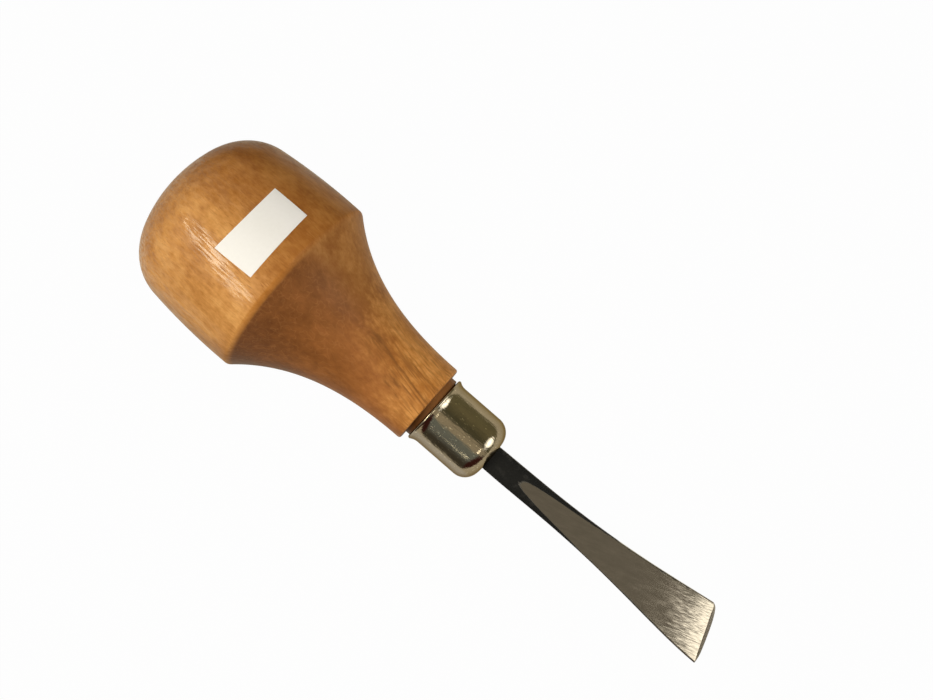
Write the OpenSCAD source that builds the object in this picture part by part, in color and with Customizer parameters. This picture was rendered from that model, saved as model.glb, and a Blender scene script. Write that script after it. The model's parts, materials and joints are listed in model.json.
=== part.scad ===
// Palm skew chisel: a turned palm bulb with a tenon, a drawn ferrule pressed over
// the tenon, and a forged blade whose tang is bedded in the bored handle.
// The sizes run along the tool's axis from the dome (x = 0) to the blade's toe.
// The whole tool is then laid down on z = 0, as it rests on a bench.

/* [Handle] */
// Length of the wood from the dome to the neck's shoulder
handle_length = 62.2; // [59:0.1:68]
// Length of the bulb from the dome to its rim
bulb_length = 29.2; // [27:0.1:32]
// Diameter of the bulb at its rim
bulb_diameter = 38; // [35:0.1:42]
// Radius of the dome's flat crown
crown_radius = 29.4; // [26:0.1:34]
// Radius of the knuckle between the crown and the wall
knuckle_radius = 11.2; // [9:0.1:13]
// Angle at which the bulb's wall opens towards the rim
wall_angle = 2.4; // [1:0.1:4]
// Rounding of the rim's edge
rim_round = 0.9; // [0.4:0.1:1.4]
// Angle at which the throat leaves the rim
throat_angle = 43; // [38:0.5:48]
// How far the throat keeps its direction at the rim
throat_rim_pull = 12.4; // [9:0.1:15]
// How far the throat keeps the neck's direction
throat_neck_pull = 12.5; // [9:0.1:16]
// Diameter of the neck
neck_diameter = 16.6; // [15.6:0.1:19]
// Rounding of the neck's front edge
neck_round = 0.5; // [0.2:0.1:0.8]

/* [Ferrule] */
// Outer diameter of the barrel
ferrule_diameter = 13.3; // [12.6:0.1:14]
// Length from the lip to the nose
ferrule_length = 13.9; // [11:0.1:17]
// Thickness of the drawn metal
ferrule_wall = 0.6; // [0.4:0.05:0.9]
// Outer radius of the nose
nose_radius = 3; // [2.2:0.1:3.4]
// How far the lip flares out beyond the barrel
lip_flare = 0.4; // [0.2:0.05:0.6]
// Length over which the lip flares
lip_length = 1.3; // [0.9:0.1:2]
// Length of bare collar between the neck and the lip
collar_length = 1.3; // [0.6:0.1:2.5]
// Diameter of the bare collar
collar_diameter = 12.9; // [12.8:0.05:13.2]

/* [Blade] */
// Reach of the toe beyond the ferrule's nose
blade_reach = 53.7; // [48:0.1:60]
// Width of the shank
shank_width = 5.2; // [4.6:0.1:5.6]
// Thickness of the shank at its crown
shank_thickness = 3.2; // [2.8:0.1:3.6]
// Height of the crown on each face of the shank
shank_crown = 0.45; // [0.3:0.05:0.6]
// Break of the bar's long edges
edge_break = 0.2; // [0.1:0.05:0.3]
// Distance of the toe corner from the axis
toe_offset = 3.9; // [3.4:0.1:4.6]
// Distance of the heel corner from the axis
heel_offset = 7.1; // [6:0.1:8]
// Waist of the toe side before it flares
toe_waist = 0.35; // [0.1:0.05:0.5]
// Distance from the nose at which the toe side flares
toe_flare_start = 19.6; // [16:0.1:24]
// Skew of the cutting edge
skew_angle = 21.5; // [16:0.5:28]
// Bow of the cutting edge
edge_bow = 0.65; // [0.3:0.05:0.9]
// Distance from the nose to the start of the ground faces
grind_start = 7.2; // [4:0.1:12]
// Thickness of the ground blade at the toe
toe_thickness = 0.6; // [0.5:0.05:0.9]
// Angle of each cutting bevel to the blade's middle plane
bevel_angle = 32; // [26:1:40]

/* [Tang] */
// Length of the tang behind the shank's shoulder
tang_length = 32; // [24:0.5:40]
// Width of the tang at the shoulder
tang_width = 4; // [3.6:0.1:4.2]
// Thickness of the tang at the shoulder
tang_thickness = 2.4; // [2:0.1:2.6]
// Width and thickness of the tang's tip
tang_tip = 1.4; // [1.1:0.1:1.8]
// Diameter of the pilot bore
bore_diameter = 5.2; // [5:0.1:6]
// Depth of the pilot bore beyond the tang's tip
bore_spare = 1.5; // [0.5:0.1:4]
// Point angle of the drill
drill_point = 118; // [90:1:140]

/* [Label] */
// Width of the label along the axis
label_width = 7.7; // [6:0.1:9]
// Length of the label around the bulb
label_length = 15; // [10:0.1:20]
// Thickness of the label
label_thickness = 0.12; // [0.08:0.01:0.2]
// Distance from the dome to the label
label_start = 17.9; // [16:0.1:19]
// Turn of the label's middle from the blade's face towards the heel
label_turn = 15.5; // [0:0.5:30]

/* [Fits] */
// Clearance between the tenon and the ferrule
ferrule_fit = 0.02; // [0.01:0.005:0.06]
// Clearance between the shank and the ferrule's slot
slot_fit = 0.1; // [0.05:0.01:0.2]
// Gap between the tenon's end and the ferrule's inner end
seat_gap = 0.1; // [0.05:0.01:0.3]
// Film of adhesive under the label
label_film = 0.02; // [0.01:0.005:0.04]

/* [Hidden] */
$fn = 96;
arc_steps = 10;
throat_steps = 24;
shank_steps = 28;
crown_steps = 6;
overrun = 1.5;

bulb_radius = bulb_diameter / 2;
neck_radius = neck_diameter / 2;
barrel_radius = ferrule_diameter / 2;
lip_x = handle_length + collar_length;
nose_x = lip_x + ferrule_length;
shoulder_x = nose_x - ferrule_wall - seat_gap;
toe_x = nose_x + blade_reach;
edge_span = toe_offset + heel_offset;
heel_x = toe_x - edge_span * tan(skew_angle);
grind_x = nose_x + grind_start;
half_shank = shank_thickness / 2;
half_toe = toe_thickness / 2;
grind_slope = (half_shank - half_toe) / (toe_x - grind_x);
bore_radius = bore_diameter / 2;
bore_end_x = shoulder_x - tang_length - bore_spare;

// Bulb: the crown, the knuckle that joins it to the wall, and the rim
rim = [bulb_length, bulb_radius];
wall_way = [cos(wall_angle), sin(wall_angle)];
wall_in = [sin(wall_angle), -cos(wall_angle)];
crown_centre = [crown_radius, 0];
knuckle_base = rim + knuckle_radius * wall_in;
crown_to_base = knuckle_base - crown_centre;
base_along = crown_to_base * wall_way;
knuckle_gap = crown_radius - knuckle_radius;
knuckle_back = base_along + sqrt(base_along ^ 2 - crown_to_base * crown_to_base + knuckle_gap ^ 2);
knuckle_centre = knuckle_base - knuckle_back * wall_way;
crown_end = atan2(knuckle_centre.y, knuckle_centre.x - crown_radius);
rim_tangent = rim_round * tan((wall_angle + throat_angle) / 2);
rim_centre = rim - rim_tangent * wall_way + rim_round * wall_in;
throat_way = [cos(throat_angle), -sin(throat_angle)];
throat_from = rim + rim_tangent * throat_way;
throat_to = [handle_length - neck_round, neck_radius];
throat_steer = throat_from + throat_rim_pull * throat_way;
neck_steer = throat_to - [throat_neck_pull, 0];

// Ferrule: the lip's arc is tangent to the barrel
lip_radius = (lip_length ^ 2 + lip_flare ^ 2) / (2 * lip_flare);
lip_centre = [lip_x + lip_length, barrel_radius + lip_radius];
nose_centre = [nose_x - nose_radius, barrel_radius - nose_radius];

// Cutting edge: an arc through both corners
toe_corner = [toe_x, -toe_offset];
heel_corner = [heel_x, heel_offset];
edge_chord = edge_span / cos(skew_angle);
edge_radius = edge_chord ^ 2 / (8 * edge_bow) + edge_bow / 2;
edge_way = [cos(skew_angle), sin(skew_angle)];
edge_centre = (toe_corner + heel_corner) / 2 - (edge_radius - edge_bow) * edge_way;

// Rest on the bench: the rim touches z = 0, and so does the bevel's lower line, whose
// bow rocks until it touches below the axis
function half_ground(x) = half_toe + grind_slope * (toe_x - x);
function edge_x(radius) = edge_centre.x + sqrt(radius ^ 2 - edge_centre.y ^ 2);
rest_radius = edge_radius - half_ground(edge_x(edge_radius)) / tan(bevel_angle);
rest_x = edge_x(rest_radius);
rest_turn = asin(-edge_centre.y / rest_radius);
rest_run = rest_x - rim_centre.x;
function rest_drop(r) = rim_centre.y - half_ground(rest_x) * cos(r);
function pitch_at(r) = atan2(rest_drop(r), rest_run) + asin(rim_round / norm([rest_run, rest_drop(r)]));
function roll_at(p) = asin(tan(rest_turn) * (grind_slope - tan(p)));
pitch = pitch_at(roll_at(pitch_at(0)));
roll = roll_at(pitch);
lift = rim_centre.x * sin(pitch) + rim_centre.y * cos(pitch) + rim_round;
back_x = crown_radius * cos(pitch) - crown_radius;
front_x = toe_x * cos(pitch) - toe_offset * sin(roll) * sin(pitch);

function arc(centre, radius, from, to) = [
    for (i = [0:arc_steps])
        let (a = from + (to - from) * i / arc_steps)
        centre + radius * [cos(a), sin(a)]
];

function bezier(a, b, c, d) = [
    for (i = [0:throat_steps])
        let (t = i / throat_steps, s = 1 - t)
        s ^ 3 * a + 3 * s ^ 2 * t * b + 3 * s * t ^ 2 * c + t ^ 3 * d
];

function backwards(list) = [for (i = [len(list) - 1:-1:0]) list[i]];

function eased(u) = u <= 0 ? 0 : u >= 1 ? 1 : u ^ 2 * (3 - 2 * u);

// Profile of the lip's arc and of the nose, inset from the ferrule's outer skin
function lip_profile(inset) =
    arc(lip_centre, lip_radius + inset, 180 + acos(lip_length / (lip_radius + inset)), 270);

function nose_profile(inset) = arc(nose_centre, nose_radius - inset, 90, 0);

// Half widths of the bar on the toe side and on the heel side
function toe_side(x) =
    shank_width / 2
    - toe_waist * eased((x - nose_x) / toe_flare_start)
    + (toe_offset - shank_width / 2 + toe_waist)
        * eased((x - nose_x - toe_flare_start) / (toe_x - nose_x - toe_flare_start));

function heel_side(x) =
    shank_width / 2
    + (heel_offset - shank_width / 2) * (max(0, x - nose_x) / (heel_x - nose_x)) ^ 2;

// One section of the bar: crowned faces, upright sides and broken edges
function section(x, heel, toe, half_edge, crown, broken) =
    let (face = [
        for (i = [0:crown_steps])
            let (v = 1 - 2 * i / crown_steps)
            [v * (v > 0 ? heel - broken : toe - broken), half_edge + crown * (1 - v ^ 2)]
    ])
    [
        for (p = face) [x, p.x, p.y],
        [x, -toe, half_edge - broken],
        [x, -toe, broken - half_edge],
        for (p = backwards(face)) [x, p.x, -p.y],
        [x, heel, broken - half_edge],
        [x, heel, half_edge - broken]
    ];

function bar_section(x) =
    section(x, heel_side(x), toe_side(x), half_shank - shank_crown, shank_crown, edge_break);

function tang_section(x, width, thickness) =
    section(x, width / 2, width / 2, thickness / 2, 0, edge_break);

function middle(row) = [for (p = row) 1] * row / len(row);

module loft(rows) {
    count = len(rows[0]);
    last = (len(rows) - 1) * count;
    first_middle = last + count;
    last_middle = first_middle + 1;
    sides = [
        for (r = [0:count:last - 1], c = [0:count - 1])
            let (a = r + c, b = r + (c + 1) % count)
            each [[a, a + count, b], [b, a + count, b + count]]
    ];
    ends = [
        for (c = [0:count - 1])
            let (d = (c + 1) % count)
            each [[first_middle, c, d], [last_middle, last + d, last + c]]
    ];
    points = [for (row = rows) each row];
    polyhedron(concat(points, [middle(rows[0]), middle(rows[len(rows) - 1])]), concat(sides, ends));
}

// Turns a lathe profile onto the tool's axis, its zero angle facing up
module turned() {
    rotate([180, 0, 0])
        rotate([0, 90, 0])
            children();
}

module revolved(profile, turn = 360) {
    turned()
        rotate_extrude(angle = turn)
            polygon([for (p = profile) [p.y, p.x]]);
}

module lying() {
    translate([-(back_x + front_x) / 2, 0, lift])
        rotate([0, pitch, 0])
            rotate([roll, 0, 0])
                children();
}

module pilot_bore() {
    revolved([
        [bore_end_x - bore_radius / tan(drill_point / 2), 0],
        [bore_end_x, bore_radius],
        [shoulder_x, bore_radius],
        [shoulder_x, 0]
    ]);
}

module tang_bar() {
    loft([
        tang_section(shoulder_x - tang_length, tang_tip, tang_tip),
        tang_section(shoulder_x, tang_width, tang_thickness)
    ]);
}

module handle() {
    tenon_fit = ferrule_wall + ferrule_fit;
    color("#b9762f")
        lying()
            difference() {
                revolved(concat(
                    arc(crown_centre, crown_radius, 180, crown_end),
                    arc(knuckle_centre, knuckle_radius, crown_end, 90 + wall_angle),
                    arc(rim_centre, rim_round, 90 + wall_angle, 90 - throat_angle),
                    bezier(throat_from, throat_steer, neck_steer, throat_to),
                    arc(throat_to - [0, neck_round], neck_round, 90, 0),
                    [[handle_length, collar_diameter / 2], [lip_x, collar_diameter / 2]],
                    lip_profile(tenon_fit),
                    nose_profile(tenon_fit + seat_gap),
                    [[shoulder_x, 0]]
                ));
                pilot_bore();
            }
}

module ferrule() {
    color("#c9c4b6")
        lying()
            difference() {
                revolved(concat(
                    lip_profile(0),
                    nose_profile(0),
                    [[nose_x, 0], [nose_x - ferrule_wall, 0]],
                    backwards(nose_profile(ferrule_wall)),
                    backwards(lip_profile(ferrule_wall))
                ));
                translate([nose_x, 0, 0])
                    cube([
                        4 * ferrule_wall,
                        shank_width + 2 * slot_fit,
                        shank_thickness + 2 * slot_fit
                    ], center = true);
            }
}

module grind_wedge() {
    from_x = shoulder_x - overrun;
    to_x = toe_x + overrun;
    rotate([90, 0, 0])
        linear_extrude(height = 4 * heel_offset, center = true)
            polygon([
                [from_x, half_ground(from_x)],
                [to_x, half_ground(to_x)],
                [to_x, -half_ground(to_x)],
                [from_x, -half_ground(from_x)]
            ]);
}

// Everything in front of the two bevels that meet in the cutting edge
module edge_waste() {
    lens_height = half_shank;
    lens_top = edge_radius - lens_height / tan(bevel_angle);
    block_x = heel_x - 2 * overrun;
    difference() {
        translate([block_x, -2 * heel_offset, -lens_height])
            cube([toe_x + 2 * overrun - block_x, 4 * heel_offset, 2 * lens_height]);
        translate([edge_centre.x, edge_centre.y, 0])
            cylinder(h = lens_height, r1 = edge_radius, r2 = lens_top);
        translate([edge_centre.x, edge_centre.y, 0])
            mirror([0, 0, 1])
                cylinder(h = lens_height, r1 = edge_radius, r2 = lens_top);
    }
}

module blade() {
    flare_length = toe_x + overrun / 2 - nose_x;
    color("#6f6a64")
        lying() {
            tang_bar();
            difference() {
                intersection() {
                    loft([
                        bar_section(shoulder_x),
                        for (i = [0:shank_steps])
                            bar_section(nose_x + flare_length * i / shank_steps)
                    ]);
                    grind_wedge();
                }
                edge_waste();
            }
        }
}

module tang_bedding() {
    color("#d8c79a")
        lying()
            difference() {
                pilot_bore();
                tang_bar();
            }
}

module label() {
    mid_radius = bulb_radius - (bulb_length - label_start - label_width / 2) * tan(wall_angle);
    label_arc = label_length / mid_radius * 180 / PI;
    back = rim - (bulb_length - label_start) / cos(wall_angle) * wall_way;
    front = back + label_width / cos(wall_angle) * wall_way;
    color("#efeeea")
        lying()
            rotate([-label_turn - label_arc / 2, 0, 0])
                revolved([
                    back - label_film * wall_in,
                    front - label_film * wall_in,
                    front - (label_film + label_thickness) * wall_in,
                    back - (label_film + label_thickness) * wall_in
                ], label_arc);
}

handle();
ferrule();
blade();
tang_bedding();
label();
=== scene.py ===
import json
import math

import bpy
import numpy as np
from mathutils import Matrix, Vector


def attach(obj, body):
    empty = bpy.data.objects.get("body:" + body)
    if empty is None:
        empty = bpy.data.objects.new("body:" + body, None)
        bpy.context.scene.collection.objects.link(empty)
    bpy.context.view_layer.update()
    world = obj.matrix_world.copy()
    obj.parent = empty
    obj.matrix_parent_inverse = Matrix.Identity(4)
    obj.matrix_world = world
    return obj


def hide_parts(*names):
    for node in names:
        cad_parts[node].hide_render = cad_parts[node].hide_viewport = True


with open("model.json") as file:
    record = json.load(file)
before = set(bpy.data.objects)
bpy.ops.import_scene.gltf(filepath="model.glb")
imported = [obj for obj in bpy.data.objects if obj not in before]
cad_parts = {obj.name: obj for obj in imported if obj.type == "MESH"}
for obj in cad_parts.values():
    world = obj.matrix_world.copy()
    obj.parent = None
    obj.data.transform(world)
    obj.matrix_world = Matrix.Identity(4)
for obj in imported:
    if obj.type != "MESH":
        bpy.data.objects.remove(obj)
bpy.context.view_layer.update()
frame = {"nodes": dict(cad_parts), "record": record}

# Handle: one piece of hardwood turned between centres, with a domed palm bulb, a crisp
# rim, a hollow throat and a neck. A tenon runs on into the ferrule and a pilot bore takes
# the tang. It is stained amber and finished with clear lacquer.
mounts = {m["name"]: m for m in frame["record"]["mounts"]}
axis = Vector(mounts["ferrule_barrel"]["axis"]).normalized()
face_way = Vector(mounts["ground_face"]["axis"])
up = (face_way - axis * face_way.dot(axis)).normalized()
heel_way = up.cross(axis)
barrel_middle_x = 0.0696
dome = Vector(mounts["ferrule_barrel"]["pos_m"]) - barrel_middle_x * axis
# The tool's own frame: x along the axis from the dome, y to the blade's heel side, z up
tool = Matrix.Translation(dome) @ Matrix((axis, heel_way, up)).transposed().to_4x4()


def polar(radius, degrees):
    return radius * np.array([math.cos(math.radians(degrees)), math.sin(math.radians(degrees))])


def heading(way):
    return math.degrees(math.atan2(way[1], way[0]))


def arc(centre, radius, start, end, steps):
    """Points on a circle, from one angle in degrees to another."""
    return [tuple(centre + polar(radius, a)) for a in np.linspace(start, end, steps + 1)]


def bezier(a, b, c, d, steps):
    a, b, c, d = map(np.array, (a, b, c, d))
    t = np.linspace(0, 1, steps + 1)[:, None]
    s = 1 - t
    return [tuple(p) for p in s**3 * a + 3 * s**2 * t * b + 3 * s * t**2 * c + t**3 * d]


turned_sides = 192


def revolve(profile):
    """Vertices and faces of a profile of (x, radius) turned about the axis; a radius of 0 closes it."""
    vertices, rings = [], []
    for x, radius in profile:
        if radius == 0:
            rings.append([len(vertices)])
            vertices.append((x, 0, 0))
            continue
        rings.append(list(range(len(vertices), len(vertices) + turned_sides)))
        for k in range(turned_sides):
            a = 2 * math.pi * k / turned_sides
            vertices.append((x, radius * math.sin(a), radius * math.cos(a)))
    faces = []
    for low, high in zip(rings, rings[1:]):
        for k in range(turned_sides):
            n = (k + 1) % turned_sides
            corners = [low[k % len(low)], high[k % len(high)], high[n % len(high)], low[n % len(low)]]
            faces.append(list(dict.fromkeys(corners)))
    return vertices, faces


def new_piece(name, vertices, faces, crisp_angle):
    """An object from vertices in the tool's frame, smooth but for edges past an angle in degrees."""
    mesh = bpy.data.meshes.new(name)
    mesh.from_pydata([tuple(v) for v in vertices], [], faces)
    mesh.validate()
    mesh.transform(tool)
    mesh.shade_smooth()
    mesh.set_sharp_from_angle(angle=math.radians(crisp_angle))
    piece = bpy.data.objects.new(name, mesh)
    bpy.context.scene.collection.objects.link(piece)
    return piece


bulb_length, bulb_radius = 0.0292, 0.0189
crown_radius, knuckle_radius, wall_bow_radius = 0.0286, 0.0101, 0.123
rim_lean, throat_angle, rim_round = -1.4, 42, 0.0009
throat_pull, neck_pull = 0.0109, 0.0140
neck_end_x, neck_radius, neck_round = 0.0624, 0.0083, 0.0005
collar_radius, lip_x = 0.00658, 0.0635
tenon_radius, tenon_end_x, tenon_nose, tenon_step = 0.00603, 0.0767, 0.0026, 0.0002
bore_radius, bore_end_x, drill_point = 0.0026, 0.0432, 0.0015
crown_steps, knuckle_steps, wall_steps, rim_steps, throat_steps, corner_steps = 40, 30, 24, 10, 70, 6

# The knuckle's circle touches the dome's and the wall's from inside
rim = np.array([bulb_length, bulb_radius])
crown_centre = np.array([crown_radius, 0])
wall_centre = rim - polar(wall_bow_radius, 90 + rim_lean)
to_crown = crown_centre - wall_centre
apart = np.linalg.norm(to_crown)
wall_reach, crown_reach = wall_bow_radius - knuckle_radius, crown_radius - knuckle_radius
along = (wall_reach**2 - crown_reach**2 + apart**2) / (2 * apart)
aside = math.sqrt(wall_reach**2 - along**2)
knuckle = wall_centre + (along * to_crown + aside * np.array([-to_crown[1], to_crown[0]])) / apart
crown_end, wall_start = heading(knuckle - crown_centre), heading(knuckle - wall_centre)
rim_tangent = rim_round * math.tan(math.radians((rim_lean + throat_angle) / 2))
rim_centre = rim - rim_tangent * polar(1, rim_lean) - polar(rim_round, 90 + rim_lean)
wall_end = 90 + rim_lean + math.degrees(rim_tangent / wall_bow_radius)
throat_from = rim + polar(rim_tangent, -throat_angle)
throat_to = np.array([neck_end_x - neck_round, neck_radius])
throat_leave, throat_arrive = throat_from + polar(throat_pull, -throat_angle), throat_to - (neck_pull, 0)
tenon_centre = (tenon_end_x - tenon_nose, tenon_radius - tenon_nose)
handle_profile = (
    [(0, 0)]
    + arc(crown_centre, crown_radius, 180, crown_end, crown_steps)[1:]
    + arc(knuckle, knuckle_radius, crown_end, wall_start, knuckle_steps)[1:]
    + arc(wall_centre, wall_bow_radius, wall_start, wall_end, wall_steps)[1:]
    + arc(rim_centre, rim_round, 90 + rim_lean, 90 - throat_angle, rim_steps)[1:]
    + bezier(throat_from, throat_leave, throat_arrive, throat_to, throat_steps)[1:]
    + arc(throat_to - (0, neck_round), neck_round, 90, 0, corner_steps)[1:]
    + [(neck_end_x, collar_radius), (lip_x, collar_radius), (lip_x + tenon_step, tenon_radius)]
    + arc(tenon_centre, tenon_nose, 90, 0, corner_steps)
    + [(tenon_end_x, bore_radius), (bore_end_x, bore_radius), (bore_end_x - drill_point, 0)]
)
handle = new_piece("handle_wood", *revolve(handle_profile), crisp_angle=28)


class Wire:
    """One socket of a shader. Arithmetic on wires adds Math nodes beside it."""

    def __init__(self, socket):
        self.socket = socket

    def node(self, kind, settings, values, out=0):
        """Adds a node: its settings first, then a value or a link for each socket named."""
        made = self.socket.id_data.nodes.new(kind)
        for name, value in settings.items():
            if name == "stops":
                ramp = made.color_ramp.elements
                while len(ramp) < len(value):
                    ramp.new(0.5)
                for stop, (place, colour) in zip(ramp, value):
                    stop.position, stop.color = place, (*colour, 1)
            else:
                setattr(made, name, value)
        plug(made, values)
        return Wire(made.outputs[out])

    def maths(self, operation, *operands):
        return self.node("ShaderNodeMath", {"operation": operation}, dict(enumerate(operands)))

    def __add__(self, other):
        return self.maths("ADD", self, other)

    def __radd__(self, other):
        return self.maths("ADD", other, self)

    def __sub__(self, other):
        return self.maths("SUBTRACT", self, other)

    def __rsub__(self, other):
        return self.maths("SUBTRACT", other, self)

    def __mul__(self, other):
        return self.maths("MULTIPLY", self, other)

    def __rmul__(self, other):
        return self.maths("MULTIPLY", other, self)

    def __abs__(self):
        return self.maths("ABSOLUTE", self)

    def most(self, other):
        return self.maths("MAXIMUM", self, other)

    def step(self, low, high, to_low=0, to_high=1):
        """Eases from to_low at low to to_high at high."""
        settings = {"interpolation_type": "SMOOTHSTEP"}
        return self.node("ShaderNodeMapRange", settings, {0: self, 1: low, 2: high, 3: to_low, 4: to_high})

    def ramp(self, stops):
        """A colour for this wire from stops of (place, colour)."""
        return self.node("ShaderNodeValToRGB", {"stops": stops}, {0: self})

    def mix(self, first, second):
        """A colour between two, with this wire as the share of the second."""
        return self.node("ShaderNodeMix", {"data_type": "RGBA"}, {0: self, 6: first, 7: second}, 2)

    def tinted(self, colour, share):
        """This colour, multiplied by another as far as share says."""
        settings = {"data_type": "RGBA", "blend_type": "MULTIPLY"}
        return self.node("ShaderNodeMix", settings, {0: share, 6: self, 7: colour}, 2)

    def parts(self):
        """The three numbers of a vector."""
        split = self.node("ShaderNodeSeparateXYZ", {}, {0: self}).socket.node
        return [Wire(s) for s in split.outputs]

    def dot(self, way):
        return self.node("ShaderNodeVectorMath", {"operation": "DOT_PRODUCT"}, {0: self, 1: tuple(way)}, 1)

    def marks(self, length, width, seed, detail=2, roughness=0.5):
        """Noise from 0 to 1 whose marks are about length along the tool and width across it, in metres."""
        spread = {0: self, 1: (1 / length, 1 / width, 1 / width), 2: (seed, 1.7 * seed, 2.3 * seed)}
        place = self.node("ShaderNodeVectorMath", {"operation": "MULTIPLY_ADD"}, spread)
        values = {"Vector": place, "Scale": 1, "Detail": detail, "Roughness": roughness}
        return self.node("ShaderNodeTexNoise", {}, values)

    def bump(self, height):
        """A normal that follows this wire, which runs from 0 to 1, over a height in metres."""
        return self.node("ShaderNodeBump", {}, {"Height": self, "Distance": height, "Strength": 1})


def plug(node, values):
    """Sets or links the sockets of a node."""
    for key, value in values.items():
        socket = node.inputs[key]
        if isinstance(value, Wire):
            node.id_data.links.new(value.socket, socket)
        else:
            socket.default_value = (*value, 1) if socket.type == "RGBA" else value


def new_finish(name):
    """A material, its shader, and a wire with the place in the tool's frame."""
    material = bpy.data.materials.new(name)
    material.use_nodes = True
    shader = material.node_tree.nodes["Principled BSDF"]
    spot = Wire(shader.outputs[0]).node("ShaderNodeTexCoord", {}, {}, "Object")
    ways = [spot.dot(way) - dome.dot(way) for way in (axis, heel_way, up)]
    return material, shader, spot.node("ShaderNodeCombineXYZ", {}, dict(enumerate(ways)))


lacquered_wood, shader, place = new_finish("lacquered_wood")
x, y, z = place.parts()
# The grain runs along the axis and swings to the toe side on the neck
grain_slope, neck_slope, swing_x = 0.03, 0.17, 0.045
slant = grain_slope * x + neck_slope * (x - swing_x).most(0)
grain = place.node("ShaderNodeCombineXYZ", {}, {0: x, 1: y + slant, 2: z})
blotch = place.marks(0.008, 0.0055, 11, 3, 0.55)
mottle = place.marks(0.0016, 0.0011, 5, 3, 0.6)
fibre = grain.marks(0.0020, 0.00032, 3)
dash = grain.marks(0.0016, 0.00022, 15, 1).step(0.58, 0.70)
tone = 0.5 * blotch + 0.38 * mottle + 0.12 * fibre
golden = [(0.37, (0.41, 0.165, 0.038)), (0.5, (0.57, 0.26, 0.072)), (0.63, (0.71, 0.36, 0.115))]
russet = [(0.37, (0.23, 0.082, 0.022)), (0.5, (0.285, 0.104, 0.028)), (0.63, (0.35, 0.13, 0.036))]

# The bulb is golden. Painted shade darkens it on the heel side, far down the toe side, by the label
# towards the rim and on the dome
rim_fade = 0.0011
colour = tone.ramp(golden)
on_bulb = 1 - x.step(bulb_length, bulb_length + rim_fade)
# Painted shade on the bulb's heel side
painted_heel_shade = (y + 0.010 * (blotch - 0.5)).step(0.001, 0.010)
colour = colour.tinted((0.735, 0.63, 0.505), painted_heel_shade * on_bulb)
# Painted shade far down the bulb's toe side
painted_toe_edge_shade = 1 - y.step(-0.0180, -0.0145)
colour = colour.tinted((0.74, 0.71, 0.66), painted_toe_edge_shade * on_bulb)
# Painted shade by the label, towards the rim
painted_shade_by_label = x.step(0.0215, 0.0255) * y.step(-0.006, 0.001) * (1 - y.step(0.008, 0.014))
colour = colour.tinted((0.77, 0.70, 0.62), painted_shade_by_label * on_bulb)
# Painted shade on the dome
painted_dome_shade = 1 - x.step(0.001, 0.011)
colour = colour.tinted((0.77, 0.725, 0.81), painted_dome_shade)

# The throat is russet heartwood, which gives way to golden wood along the neck. Golden wood on the
# throat's heel side is painted light, behind the rim the heartwood is painted darker as shade, most on the
# toe side, and past the bulb the heel side is painted lighter
heart = x + 1.3 * y + 0.012 * (blotch - 0.5) + 0.010 * (mottle - 0.5)
# Golden wood along the neck, and painted light on the throat's heel side
golden_wood_and_painted_light = heart.step(0.046, 0.061).most(0.65 * y.step(0.002, 0.014))
# Past the bulb the golden wood gets a tone of its own on the toe side, and on the neck's heel side it is
# painted lighter as painted light
painted_heel_light = x.step(0.050, 0.058).mix((0.97, 0.92, 0.87), (1.15, 1.12, 1.09))
neck_tone_and_heel_light = y.step(0.003, 0.007).mix((0.91, 0.83, 0.72), painted_heel_light)
colour = colour.tinted(neck_tone_and_heel_light, 1 - on_bulb)
heartwood_and_rim_shade = tone.ramp(russet)
# Painted shade behind the rim: darker on the toe side, and darker all round close to the rim
heartwood_and_rim_shade = heartwood_and_rim_shade.tinted((0.74, 0.76, 0.95), 1 - heart.step(0.012, 0.036))
heartwood_and_rim_shade = heartwood_and_rim_shade.tinted((0.68, 0.68, 0.70), 1 - x.step(0.032, 0.051))
heartwood_and_rim_shade = heartwood_and_rim_shade.tinted((1.22, 1.24, 1.3), x.step(0.047, 0.058))
vein = 1 - abs(place.marks(0.0022, 0.0014, 7, 1) - 0.5).step(0, 0.035)
heartwood_and_rim_shade = (0.3 * vein * mottle).mix(heartwood_and_rim_shade, (0.46, 0.2, 0.07))
colour = ((1 - on_bulb) * (1 - golden_wood_and_painted_light)).mix(colour, heartwood_and_rim_shade)

# Pores all over, a dark band on the rim, and dark streaks and single grain lines on the neck
porous = on_bulb * x.step(0.013, 0.020) * (1 - abs(y - 0.003).step(0.006, 0.010))
colour = (dash * (0.22 + 0.35 * porous)).mix(colour, (0.28, 0.10, 0.024))
rim_band = x.step(0.0288, 0.0292) * (1 - x.step(0.0296, 0.0301))
rim_band = rim_band * y.step(-0.015, -0.008) * (1 - y.step(0, 0.006))
colour = (0.5 * rim_band).mix(colour, (0.40, 0.14, 0.020))
bundle = 1 - abs(y - 0.0029 + 0.15 * (x - 0.046)).step(0.0012, 0.0034)
streaky = (golden_wood_and_painted_light * x.step(0.044, 0.050)).most(bundle * x.step(0.044, 0.048))
streak = grain.marks(0.0045, 0.0004, 13, 3).step(0.47, 0.62)
colour = colour.tinted((0.86, 0.83, 0.80), bundle * x.step(0.048, 0.055))
colour = (streak * streaky * (0.45 + 0.45 * bundle)).mix(colour, (0.27, 0.105, 0.027))
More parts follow.
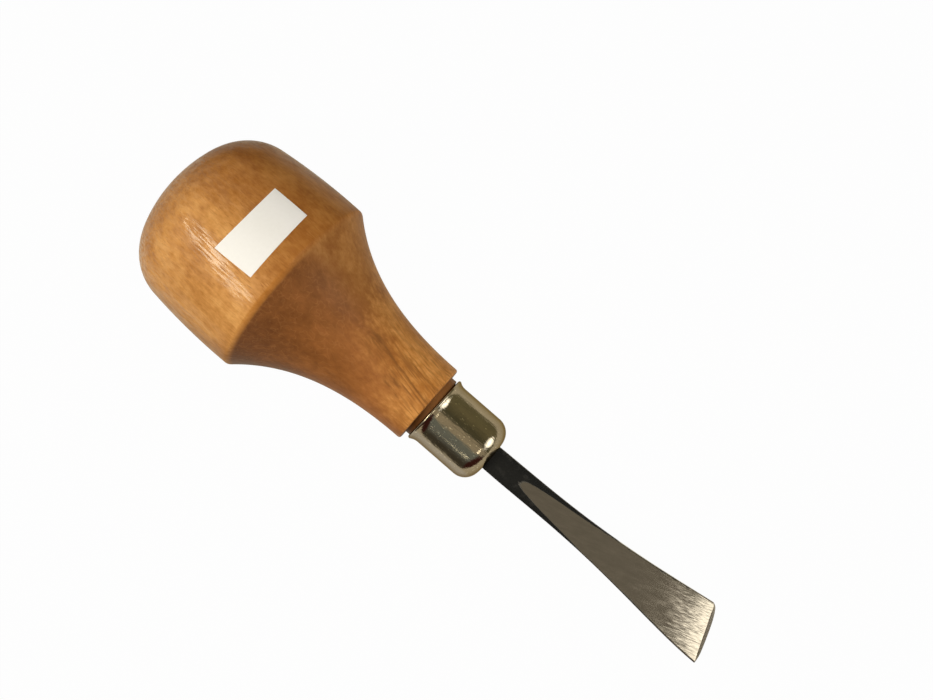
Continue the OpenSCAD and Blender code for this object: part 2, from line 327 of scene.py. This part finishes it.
# Each line has its start and end as (x, y), and how far its start swells to a knot
grain_lines = (
    ((0.0462, 0.00365), (0.062, 0.0004), 1),
    ((0.0533, 0.00434), (0.062, 0.00325), 0),
    ((0.0542, -0.0002), (0.0560, -0.0005), 0.5),
    ((0.0532, -0.0011), (0.0568, -0.0021), 0.3),
)
line_core, line_reach, knot_reach, line_waver = 0.00005, 0.00045, 0.0007, 0.0012
start_fade, end_fade, knot_end = 0.001, 0.0015, 0.005
for (from_x, from_y), (to_x, to_y), knot in grain_lines:
    swell = knot * (1 - x.step(from_x + start_fade, from_x + knot_end))
    slope = (to_y - from_y) / (to_x - from_x)
    offset = y - from_y - slope * (x - from_x) + line_waver * (mottle - 0.5)
    line = 1 - abs(offset).step(line_core, line_reach + knot_reach * swell)
    line = line * x.step(from_x - start_fade, from_x + start_fade) * (1 - x.step(to_x, to_x + end_fade))
    line = line * z.step(0, 0.003) * fibre.step(0.3, 0.6)
    colour = (line * (0.7 + 0.2 * swell)).mix(colour, (0.2, 0.077, 0.02))
# The collar in the groove before the ferrule is painted dark as shade, darkest on the toe side
collar_fade = 0.0002
collar = x.step(neck_end_x - collar_fade, neck_end_x)
painted_collar_shade = y.step(-0.004, 0.004).mix((0.10, 0.036, 0.009), (0.25, 0.105, 0.032))
colour = collar.mix(colour, painted_collar_shade)

# The lacquer lies in streaks along the grain, thinner on the dome, towards the rim and on the neck
lacquer_relief = 0.00006
ripple = grain.marks(0.0060, 0.0009, 17)
relief = ripple + 0.3 * fibre + 0.2 * mottle - 0.1 * dash
lacquer = 0.08 + 0.92 * grain.marks(0.0055, 0.00036, 19, 3).step(0.42, 0.56)
lacquer = lacquer * (1 - 0.4 * x.step(0.020, 0.024)) * (1 - 0.95 * x.step(0.0275, 0.029))
lacquer = lacquer * (1 - 0.6 * abs(y + 0.004).step(0.009, 0.015)) * x.step(0, 0.006, 0.2, 1)
plug(shader, {
    "Base Color": colour,
    "Roughness": 0.35 + 0.15 * blotch,
    "Specular IOR Level": 0.08,
    "Coat Weight": lacquer,
    "Coat Roughness": 0.15,
    "Normal": relief.bump(lacquer_relief),
})
handle.data.materials.append(lacquered_wood)
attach(handle, "root")
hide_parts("handle")

# Ferrule: a cup drawn from thin steel, plated bright, with a flared lip and a rounded
# nose. The end is pierced for the shank, and the cup is pressed over the tenon.
barrel_radius, metal, nose_x, nose_radius = 0.00664, 0.0006, 0.0775, 0.0033
lip_flare, lip_steep, bead_radius = 0.0005, 34, 0.00037
lip_shear, shear_reach = 0.00022, 0.004
hem_from, hem_to = 0.0015, 0.0002
slot_half, slot_shift, slot_power = (0.00262, 0.0017), 0.00016, 4
lip_steps, nose_steps, inner_nose_steps, barrel_rings = 12, 24, 8, 12
hollow_radius = lip_flare / (1 - math.cos(math.radians(lip_steep))) - bead_radius
lip_length = bead_radius + (hollow_radius + bead_radius) * math.sin(math.radians(lip_steep))
bead_centre = (lip_x + bead_radius, barrel_radius + lip_flare - bead_radius)
hollow_centre = (lip_x + lip_length, barrel_radius + hollow_radius)
nose_centre = (nose_x - nose_radius, barrel_radius - nose_radius)


def bridge(low, high):
    """Faces between two rings that start at the vertices low and high."""
    turns = [(k, (k + 1) % turned_sides) for k in range(turned_sides)]
    return [[low + k, high + k, high + n, low + n] for k, n in turns]


def sheared(x, y, z):
    """The lip was set a little askew, and the skew fades out along the barrel."""
    fade = max(0, 1 - abs(x - lip_x) / shear_reach)
    return x + lip_shear * y / barrel_radius * fade, y, z


barrel_xs = np.linspace(lip_x + lip_length, nose_x - nose_radius, barrel_rings)[1:-1]
ferrule_profile = (
    [(lip_x + hem_from, barrel_radius - metal), (lip_x + hem_to, barrel_radius - metal)]
    + arc(bead_centre, bead_radius, 180, 90 - lip_steep, lip_steps)
    + arc(hollow_centre, hollow_radius, 270 - lip_steep, 270, lip_steps)[1:]
    + [(x, barrel_radius) for x in barrel_xs]
    + arc(nose_centre, nose_radius, 90, 0, nose_steps)
)
vertices, faces = revolve(ferrule_profile)
for x in (nose_x, nose_x - metal):
    start = len(vertices)
    for k in range(turned_sides):
        a = 2 * math.pi * k / turned_sides
        side, rise = math.sin(a), math.cos(a)
        reach = abs(side / slot_half[0]) ** slot_power + abs(rise / slot_half[1]) ** slot_power
        reach = reach ** (-1 / slot_power)
        vertices.append((x, slot_shift + reach * side, reach * rise))
    faces += bridge(start - turned_sides, start)
inner_profile = arc(nose_centre, nose_radius - metal, 0, 90, inner_nose_steps)
inner_vertices, inner_faces = revolve(inner_profile)
start = len(vertices)
faces += bridge(start - turned_sides, start)
vertices += inner_vertices
faces += [[start + corner for corner in face] for face in inner_faces]
faces += bridge(len(vertices) - turned_sides, 0)
ferrule = new_piece("ferrule_shell", [sheared(*v) for v in vertices], faces, crisp_angle=32)

nickel, shader, place = new_finish("nickel_plate")
plate_relief = 0.00002
x, y, z = place.parts()
scuff = place.marks(0.0006, 0.00025, 21, 4)
wave = place.marks(0.004, 0.002, 23, 1)
dimple = place.marks(0.0028, 0.0005, 22, 3)
stain = place.marks(0.003, 0.003, 25, 3)
scratch = place.marks(0.0022, 0.00012, 24, 1).step(0.64, 0.72)
pit = place.marks(0.00025, 0.00025, 26, 1).step(0.66, 0.74)
fleck = place.marks(0.0005, 0.0002, 28, 3).step(0.62, 0.72) * (1 - z.step(0.002, 0.004))
# Bright flecks on the top of the plate are painted glints
painted_glint = place.marks(0.0007, 0.0003, 29, 3).step(0.63, 0.70) * z.step(0.003, 0.0045)
colour = stain.step(0.35, 0.7).mix((0.40, 0.345, 0.255), (0.36, 0.31, 0.23))
# On the flanks the plate's colour is a painted reflection: warm brown on the heel side, grey on the toe
# side, patchy with the stains
painted_flank_reflection = y.step(-0.002, 0.002).mix((0.375, 0.345, 0.305), (0.395, 0.34, 0.225))
colour = ((1 - z.step(0.001, 0.0045)) * (0.5 + 0.5 * stain)).mix(colour, painted_flank_reflection)
# Far down the toe side the flank is painted a lighter grey, a painted reflection
colour = y.step(-0.0052, -0.0044).mix((0.44, 0.405, 0.365), colour)
colour = (0.45 * fleck).mix(colour, (0.14, 0.09, 0.05))
colour = (0.4 * scratch.most(pit)).mix(colour, (0.16, 0.14, 0.10))
colour = (0.7 * painted_glint).mix(colour, (0.9, 0.82, 0.62))
relief = wave + 2 * dimple + 0.12 * scuff - 0.1 * scratch
plug(shader, {
    "Base Color": colour,
    "Metallic": 1,
    "Roughness": 0.07 + 0.1 * scuff + 0.12 * scratch,
    "Specular Tint": (0.4, 0.34, 0.25),
    "Normal": relief.bump(plate_relief),
})
ferrule.data.materials.append(nickel)
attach(ferrule, "root")
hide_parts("ferrule")

# Bedding: resin poured into the pilot bore, where it sets round the tapered tang.
# Handle and ferrule hide it, so the solid keeps its own mesh and only gets a finish.
resin, shader, place = new_finish("bedding_resin")
swirl = place.marks(0.004, 0.002, 27, 3)
plug(shader, {
    "Base Color": swirl.mix((0.52, 0.42, 0.22), (0.68, 0.58, 0.36)),
    "Roughness": 0.25 + 0.15 * swirl,
})
bedding = frame["nodes"]["tang_bedding"]
bedding.data.materials.clear()
bedding.data.materials.append(resin)

# Blade: one forging of tool steel. The shank keeps its black skin and crowned faces, both
# faces are ground flat to a flared end, and a short bevel on each side makes the skewed
# edge. A tapered tang behind the shoulder is bedded in the handle.
shoulder_x, toe_x, heel_x, bar_end_x = 0.0767, 0.13109, 0.12689, 0.1312
toe_offset, heel_offset = 0.00382, 0.00707
toe_pulls = (0.00231, 0.00254, 0.00059, 0.00415, 0.00382)
heel_pulls = (0.00267, 0.00311, 0.00264, 0.00577, 0.00775)
grind_x, half_shank, half_toe = 0.0847, 0.0016, 0.00027
toe_crown, toe_power, heel_crown, heel_power = 0.00054, 1.8, 0.0006, 3.4
edge_bow, bow_power, heel_round, heel_round_from = 0.0006, 3.5, 0.0004, 0.94
bevel_at_toe, bevel_at_heel, bevel_tip = 0.0001, 0.00028, 0.00004
edge_break, break_slope, bevel_break_slope = 0.00013, 0.8, 0.2
heel_break_end_x, heel_break_fade, heel_break_least = 0.121, 0.003, 0.15
tang_root, tang_tip, tang_length, tang_depth = (0.002, 0.0012), (0.0007, 0.0007), 0.032, -0.001
face_rows, face_reach, side_rows = 45, 0.94, np.array([0.97, 0.985, 1])
bar_stations, fine_stations, bevel_stations, fine_from = 300, 40, 7, 0.93


def pulled(x, pulls):
    """Half width of the bar at x: a Bezier curve along the bar over evenly spaced pulls."""
    t = (x - shoulder_x) / (bar_end_x - shoulder_x)
    last = len(pulls) - 1
    return sum(math.comb(last, k) * t**k * (1 - t) ** (last - k) * pull for k, pull in enumerate(pulls))


def slab_faces(rows, cols):
    """Faces of a grid of vertices, of a like grid below it, and of the rim between the two."""
    below = rows * cols
    faces = []
    for r in range(rows - 1):
        for c in range(cols - 1):
            a, b = r * cols + c, (r + 1) * cols + c
            faces.append([a, b, b + 1, a + 1])
            faces.append([below + a, below + a + 1, below + b + 1, below + b])
    rim = [(0, c) for c in range(cols)] + [(r, cols - 1) for r in range(1, rows)]
    rim += [(rows - 1, c) for c in range(cols - 2, -1, -1)] + [(r, 0) for r in range(rows - 2, 0, -1)]
    rim = [r * cols + c for r, c in rim]
    faces += [[a, b, below + b, below + a] for a, b in zip(rim, rim[1:] + rim[:1])]
    return faces


# Rows run across the bar from the toe side at -1 to the heel side at 1, and stations run
# from the shoulder at 0 to the bevel's upper line at 1 and the cutting edge at 2
across = np.concatenate([-side_rows[::-1], np.linspace(-face_reach, face_reach, face_rows), side_rows])
stations = np.concatenate([
    np.linspace(0, fine_from, bar_stations),
    np.linspace(fine_from, 1, fine_stations)[1:],
    np.linspace(1, 2, bevel_stations)[1:],
])
off = np.abs(across)
share = (across * np.where(across > 0, heel_offset, toe_offset) + toe_offset) / (heel_offset + toe_offset)
heel_corner = np.clip((share - heel_round_from) / (1 - heel_round_from), 0, 1)
chord_x = toe_x + (heel_x - toe_x) * share - heel_round * heel_corner**2
edge_x = chord_x + edge_bow * (1 - np.abs(2 * share - 1) ** bow_power)
bevel_x = chord_x - bevel_at_toe - (bevel_at_heel - bevel_at_toe) * share
grind_slope = (half_shank - half_toe) / (toe_x - grind_x)
bevel_z = half_toe + grind_slope * (toe_x - bevel_x)
crown = half_shank - np.where(across > 0, heel_crown * off**heel_power, toe_crown * off**toe_power)
whole_row = np.ones_like(across)
top, depths, hones, insets = [], [], [], []
for x, (half_width, half_height) in ((shoulder_x - tang_length, tang_tip), (shoulder_x, tang_root)):
    top.append(np.stack([x * whole_row, half_width * across, half_height * whole_row], 1))
    depths.append(tang_depth * whole_row)
    hones.append(0 * whole_row)
    insets.append(0 * whole_row)
for t in stations:
    on_bevel = max(0, t - 1)
    x = shoulder_x + (bevel_x - shoulder_x) * min(t, 1) + (edge_x - bevel_x) * on_bevel
    half_width = np.where(across > 0, pulled(x, heel_pulls), pulled(x, toe_pulls))
    from_side = (1 - off) * half_width
    ground = half_toe + grind_slope * (toe_x - x)
    z = bevel_z + (bevel_tip - bevel_z) * on_bevel if on_bevel else np.minimum(crown, ground)
    heel_break = np.clip((heel_break_end_x - x) / heel_break_fade, heel_break_least, 1)
    broken = edge_break * np.where(across > 0, heel_break, 1)
    z = z - np.clip(broken - from_side, 0, None) * (bevel_break_slope if on_bevel else break_slope)
    top.append(np.stack([x, half_width * across, np.maximum(z, bevel_tip / 2)], 1))
    depths.append(crown - ground)
    hones.append((on_bevel > 0) * whole_row)
    insets.append(from_side)
top = np.array(top)
bottom = top * (1, 1, -1)
vertices = np.concatenate([top.reshape(-1, 3), bottom.reshape(-1, 3)])
blade = new_piece("blade_steel", vertices, slab_faces(*top.shape[:2]), crisp_angle=24)
for name, values in (("grind_depth", depths), ("honed", hones), ("inset", insets)):
    values = np.concatenate([np.ravel(values)] * 2).astype(np.float32)
    blade.data.attributes.new(name, "FLOAT", "POINT").data.foreach_set("value", values)

steel, shader, place = new_finish("tool_steel")
grind_ragged, grind_line, grind_slant = 0.00004, 0.00001, 0.3
x, y, z = place.parts()
cut, honed, inset = (
    place.node("ShaderNodeAttribute", {"attribute_name": name}, {}, "Fac")
    for name in ("grind_depth", "honed", "inset")
)
ragged = place.marks(0.0012, 0.0003, 31, 3)
ground = (cut + grind_ragged * (ragged - 0.5)).step(-grind_line, grind_line)
crust = (1 - inset.step(0.00012, 0.0004)) * ragged.step(0.56, 0.64) * (1 - honed)
ground = ground * (1 - crust)
brushed = place.node("ShaderNodeCombineXYZ", {}, {0: x + grind_slant * y, 1: y - grind_slant * x, 2: z})
brush = brushed.marks(0.0014, 0.0002, 33, 3)
smear = brushed.marks(0.0035, 0.0008, 35, 3)
smudge = place.marks(0.002, 0.0016, 37, 3).step(0.52, 0.8)
skin = smudge.mix((0.004, 0.004, 0.004), (0.028, 0.0265, 0.024))
bare = (0.5 * brush + 0.5 * smear).step(0.3, 0.7).mix((0.175, 0.164, 0.149), (0.207, 0.193, 0.176))
bare = honed.mix(bare, (0.33, 0.30, 0.255))
# The grinding lines tilt the surface along the axis, more so near the edge
tilt = (0.8 * brush + 0.2 * smear - 0.5) * ground * x.step(0.113, 0.123, 0.004, 0.048)
level = place.node("ShaderNodeNewGeometry", {}, {}, "Normal")
scored = tilt.node("ShaderNodeVectorMath", {"operation": "SCALE"}, {0: tuple(axis), "Scale": tilt})
scored = level.node("ShaderNodeVectorMath", {"operation": "ADD"}, {0: level, 1: scored})
scored = scored.node("ShaderNodeVectorMath", {"operation": "NORMALIZE"}, {0: scored})
plug(shader, {
    "Base Color": ground.mix(skin, bare),
    "Metallic": ground,
    "Roughness": 0.45 - 0.4 * ground + 0.08 * smear + 0.25 * honed,
    "Specular IOR Level": 0.25,
    "Normal": scored,
})
blade.data.materials.append(steel)
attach(blade, "root")
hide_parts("blade")

# Label: a plain strip of coated paper, cut by hand, so that its sides bow a little and no
# two corners match. It is stuck round the bulb's wall, short of the rim.
back_heel, front_heel = np.array([0.0178, 38.6]), np.array([0.0252, 38.3])
back_toe, front_toe = np.array([0.01775, -8.1]), np.array([0.02575, -7.1])
back_bow, front_bow = 0.0004, 0.0002
label_rise, label_film = 0.00014, 0.00002
label_rows, label_cols = 49, 25
outside, inside = [], []
for v in np.linspace(0, 1, label_rows):
    for u in np.linspace(0, 1, label_cols):
        heel_end = back_heel * (1 - u) + front_heel * u
        toe_end = back_toe * (1 - u) + front_toe * u
        x, turn = heel_end * (1 - v) + toe_end * v
        x += (back_bow * (1 - u) + front_bow * u) * 4 * v * (1 - v)
        radius = wall_centre[1] + math.sqrt(wall_bow_radius**2 - (x - wall_centre[0]) ** 2)
        rise, side = polar(1, turn)
        outside.append((x, (radius + label_rise) * side, (radius + label_rise) * rise))
        inside.append((x, (radius + label_film) * side, (radius + label_film) * rise))
label = new_piece("label_paper", outside + inside, slab_faces(label_rows, label_cols), crisp_angle=40)

paper, shader, place = new_finish("label_paper")
paper_relief = 0.000006
pulp = place.marks(0.0006, 0.0006, 41, 3)
colour = pulp.mix((0.87, 0.85, 0.84), (0.92, 0.905, 0.895))
# The heel-side part of the label is painted lighter, as painted light
plug(shader, {
    "Base Color": colour.tinted((1.08, 1.08, 1.1), place.parts()[1].step(0.005, 0.011)),
    "Roughness": 0.55,
    "Normal": pulp.bump(paper_relief),
})
label.data.materials.append(paper)
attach(label, "root")
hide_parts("label")

# Floor: a plain bench top that is white to the camera and keeps a pale shadow. What the
# metal and the lacquer mirror of it is a beige sheet that ends on the tool's heel side.
floor_half, floor_drop, floor_glow = 3, 0.0001, 0.98
sheet_end, sheet_fade_end = 0.055, 0.08


def ray(wire, kind):
    """1 for rays of one kind, such as Camera or Glossy, and 0 for all others."""
    return wire.node("ShaderNodeLightPath", {}, {}, "Is " + kind + " Ray")


corners = [(-1, -1), (1, -1), (1, 1), (-1, 1)]
corners = [(floor_half * a, floor_half * b, -floor_drop) for a, b in corners]
floor_mesh = bpy.data.meshes.new("floor")
floor_mesh.from_pydata(corners, [], [[0, 1, 2, 3]])
floor = bpy.data.objects.new("floor", floor_mesh)
bpy.context.scene.collection.objects.link(floor)
white_floor, shader, place = new_finish("white_floor")
plug(shader, {"Base Color": (0.3, 0.3, 0.3), "Roughness": 0.9})
to_camera = ray(place, "Camera")
seen = to_camera.most(ray(place, "Glossy")).most(ray(place, "Transmission"))
sheet = place.parts()[1].step(sheet_end, sheet_fade_end).mix((0.78, 0.71, 0.56), (0.22, 0.20, 0.11))
glow = place.node("ShaderNodeEmission", {}, {"Color": to_camera.mix(sheet, (1, 1, 1)), "Strength": 1})
shown = place.node("ShaderNodeMixShader", {}, {0: seen * floor_glow, 1: Wire(shader.outputs[0]), 2: glow})
plug(white_floor.node_tree.nodes["Material Output"], {"Surface": shown})
floor.data.materials.append(white_floor)

# Camera: held over the tool and looking almost straight down on the blade's face, so that
# the axis runs to the lower right. Its place comes from the handle's outline in the photo.
picture_width, focal_length, sensor_width = 933, 1000, 36
axis_turn, axis_dip, axis_swing = 40.834129, 0.0187, 0.0025
aim_x, aim_aside, aim_distance = 0.06103, 0.01231, 0.1872
near_limit = 0.01
# A frame that looks along z, with x the way that the axis runs in the picture
tool_x = Vector((
    math.cos(axis_dip) * math.cos(axis_swing),
    math.sin(axis_swing),
    -math.sin(axis_dip) * math.cos(axis_swing),
))
tool_z = (Vector((0, 0, -1)) + tool_x * tool_x.z).normalized()
tool_y = tool_z.cross(tool_x)
to_tool = Matrix((tool_x, tool_y, tool_z))
dome_seen = Vector((0, aim_aside, aim_distance)) - aim_x * tool_x
run, fall = polar(1, axis_turn)
picture_right = to_tool @ Vector((run, -fall, 0))
picture_up = to_tool @ Vector((-fall, -run, 0))
picture_near = to_tool @ Vector((0, 0, -1))
turned = Matrix((picture_right, picture_up, picture_near)).transposed().to_4x4()
camera = bpy.data.objects.new("camera", bpy.data.cameras.new("camera"))
bpy.context.scene.collection.objects.link(camera)
camera.matrix_world = tool @ Matrix.Translation(-(to_tool @ dome_seen)) @ turned
camera.data.sensor_fit = "HORIZONTAL"
camera.data.sensor_width = sensor_width
camera.data.lens = sensor_width * focal_length / picture_width
camera.data.clip_start = near_limit
bpy.context.scene.camera = camera

# Light: a lamp overhead and a small key lamp on the dome's toe side, a window that the
# lacquer mirrors, and a narrow fill from the blade's end. The room that the ferrule mirrors
# has brown bands, a skylight, a tube, a dark red part low down and a pale wall behind.
bpy.context.scene.view_settings.view_transform = "Standard"


def new_lamp(name, aim_x, way, reach, along, size, energy, mirrored=True, beam=180, colour=(1, 1, 1)):
    """A rectangular lamp that shines on a place on the axis from way, its width along a second way."""
    lamp = bpy.data.objects.new(name, bpy.data.lights.new(name, "AREA"))
    bpy.context.scene.collection.objects.link(lamp)
    out = (tool.to_3x3() @ Vector(way)).normalized()
    side = tool.to_3x3() @ Vector(along)
    side = (side - out * side.dot(out)).normalized()
    turned = Matrix((side, out.cross(side), out)).transposed().to_4x4()
    lamp.matrix_world = Matrix.Translation(tool @ Vector((aim_x, 0, 0)) + reach * out) @ turned
    lamp.data.shape = "RECTANGLE"
    lamp.data.size, lamp.data.size_y = size
    lamp.data.energy = energy
    lamp.data.color = colour
    lamp.data.spread = math.radians(beam)
    lamp.visible_glossy = mirrored


new_lamp(
    "top", aim_x=0.05, way=(0.05, -0.20, 0.97), reach=0.6, along=(0, 1, 0),
    size=(0.3, 0.3), energy=0.98, mirrored=False,
)
new_lamp(
    "key", aim_x=0.02, way=(-0.25, -0.60, 0.76), reach=0.25, along=(0, 1, 0),
    size=(0.12, 0.12), energy=0.125, mirrored=False,
)
new_lamp(
    "window", aim_x=0.02, way=(-0.34, -0.48, 0.81), reach=0.6, along=(0.62, -0.755, -0.2),
    size=(0.34, 0.115), energy=1.26, colour=(1, 0.93, 0.72),
)
new_lamp(
    "fill", aim_x=0.076, way=(0.68, 0.57, 0.577), reach=0.2, along=(0, 0, 1),
    size=(0.24, 0.14), energy=0.038, beam=50,
)

world = bpy.data.worlds.new("room")
bpy.context.scene.world = world
world.use_nodes = True
background = world.node_tree.nodes["Background"]
sky = Wire(background.outputs[0]).node("ShaderNodeTexCoord", {}, {}, "Generated")
ahead, heelward, above = (sky.dot(way) for way in (axis, heel_way, up))
astern = -1 * ahead
lean = heelward.maths("ARCTAN2", -1 * heelward, above)
pitch = ahead.maths("ARCTAN2", ahead, above)
# The bands run from level on the heel side at 0, over the top at 0.5, to the toe side at 1
bands = [
    (0.0, (0.22, 0.20, 0.11)),
    (0.17, (0.25, 0.22, 0.12)),
    (0.36, (0.13, 0.12, 0.07)),
    (0.425, (0.13, 0.125, 0.08)),
    (0.44, (0.55, 0.48, 0.355)),
    (0.585, (0.55, 0.48, 0.355)),
    (0.605, (0.26, 0.29, 0.27)),
    (0.77, (0.25, 0.27, 0.26)),
    (0.875, (0.09, 0.08, 0.06)),
    (1.0, (0.09, 0.08, 0.06)),
]
room = (lean * (1 / math.pi) + 0.5).ramp(bands)
room = (0.8 * astern.step(0.1, 0.35)).mix(room, (0.03, 0.028, 0.02))
wall = astern.step(0.3, 0.45) * (1 - above.step(0.8, 0.92)) * ray(sky, "Glossy")
room = wall.mix(room, (0.6, 0.55, 0.45))
skylight = (pitch - 0.35 * (lean - 0.065)).step(0.369, 0.389) * (1 - pitch.step(0.55, 0.6))
skylight = skylight * lean.step(0, 0.02) * (1 - lean.step(0.095, 0.115))
room = skylight.mix(room, (7.3, 6.85, 5.7))
low_part = (ahead + 0.74 * lean).step(0.9, 1.1) * ahead.step(0.12, 0.3) * lean.step(0.22, 0.42)
room = low_part.mix(room, (0.07, 0.021, 0.016))
tube = (1 - abs(lean - 0.845).step(0.01, 0.02)) * ahead.step(0.05, 0.055) * (1 - ahead.step(0.07, 0.09))
room = tube.mix(room, (7, 6.8, 5.5))
room = ray(sky, "Camera").mix(room, (0.985, 0.985, 0.985))
plug(background, {"Color": room, "Strength": 1})
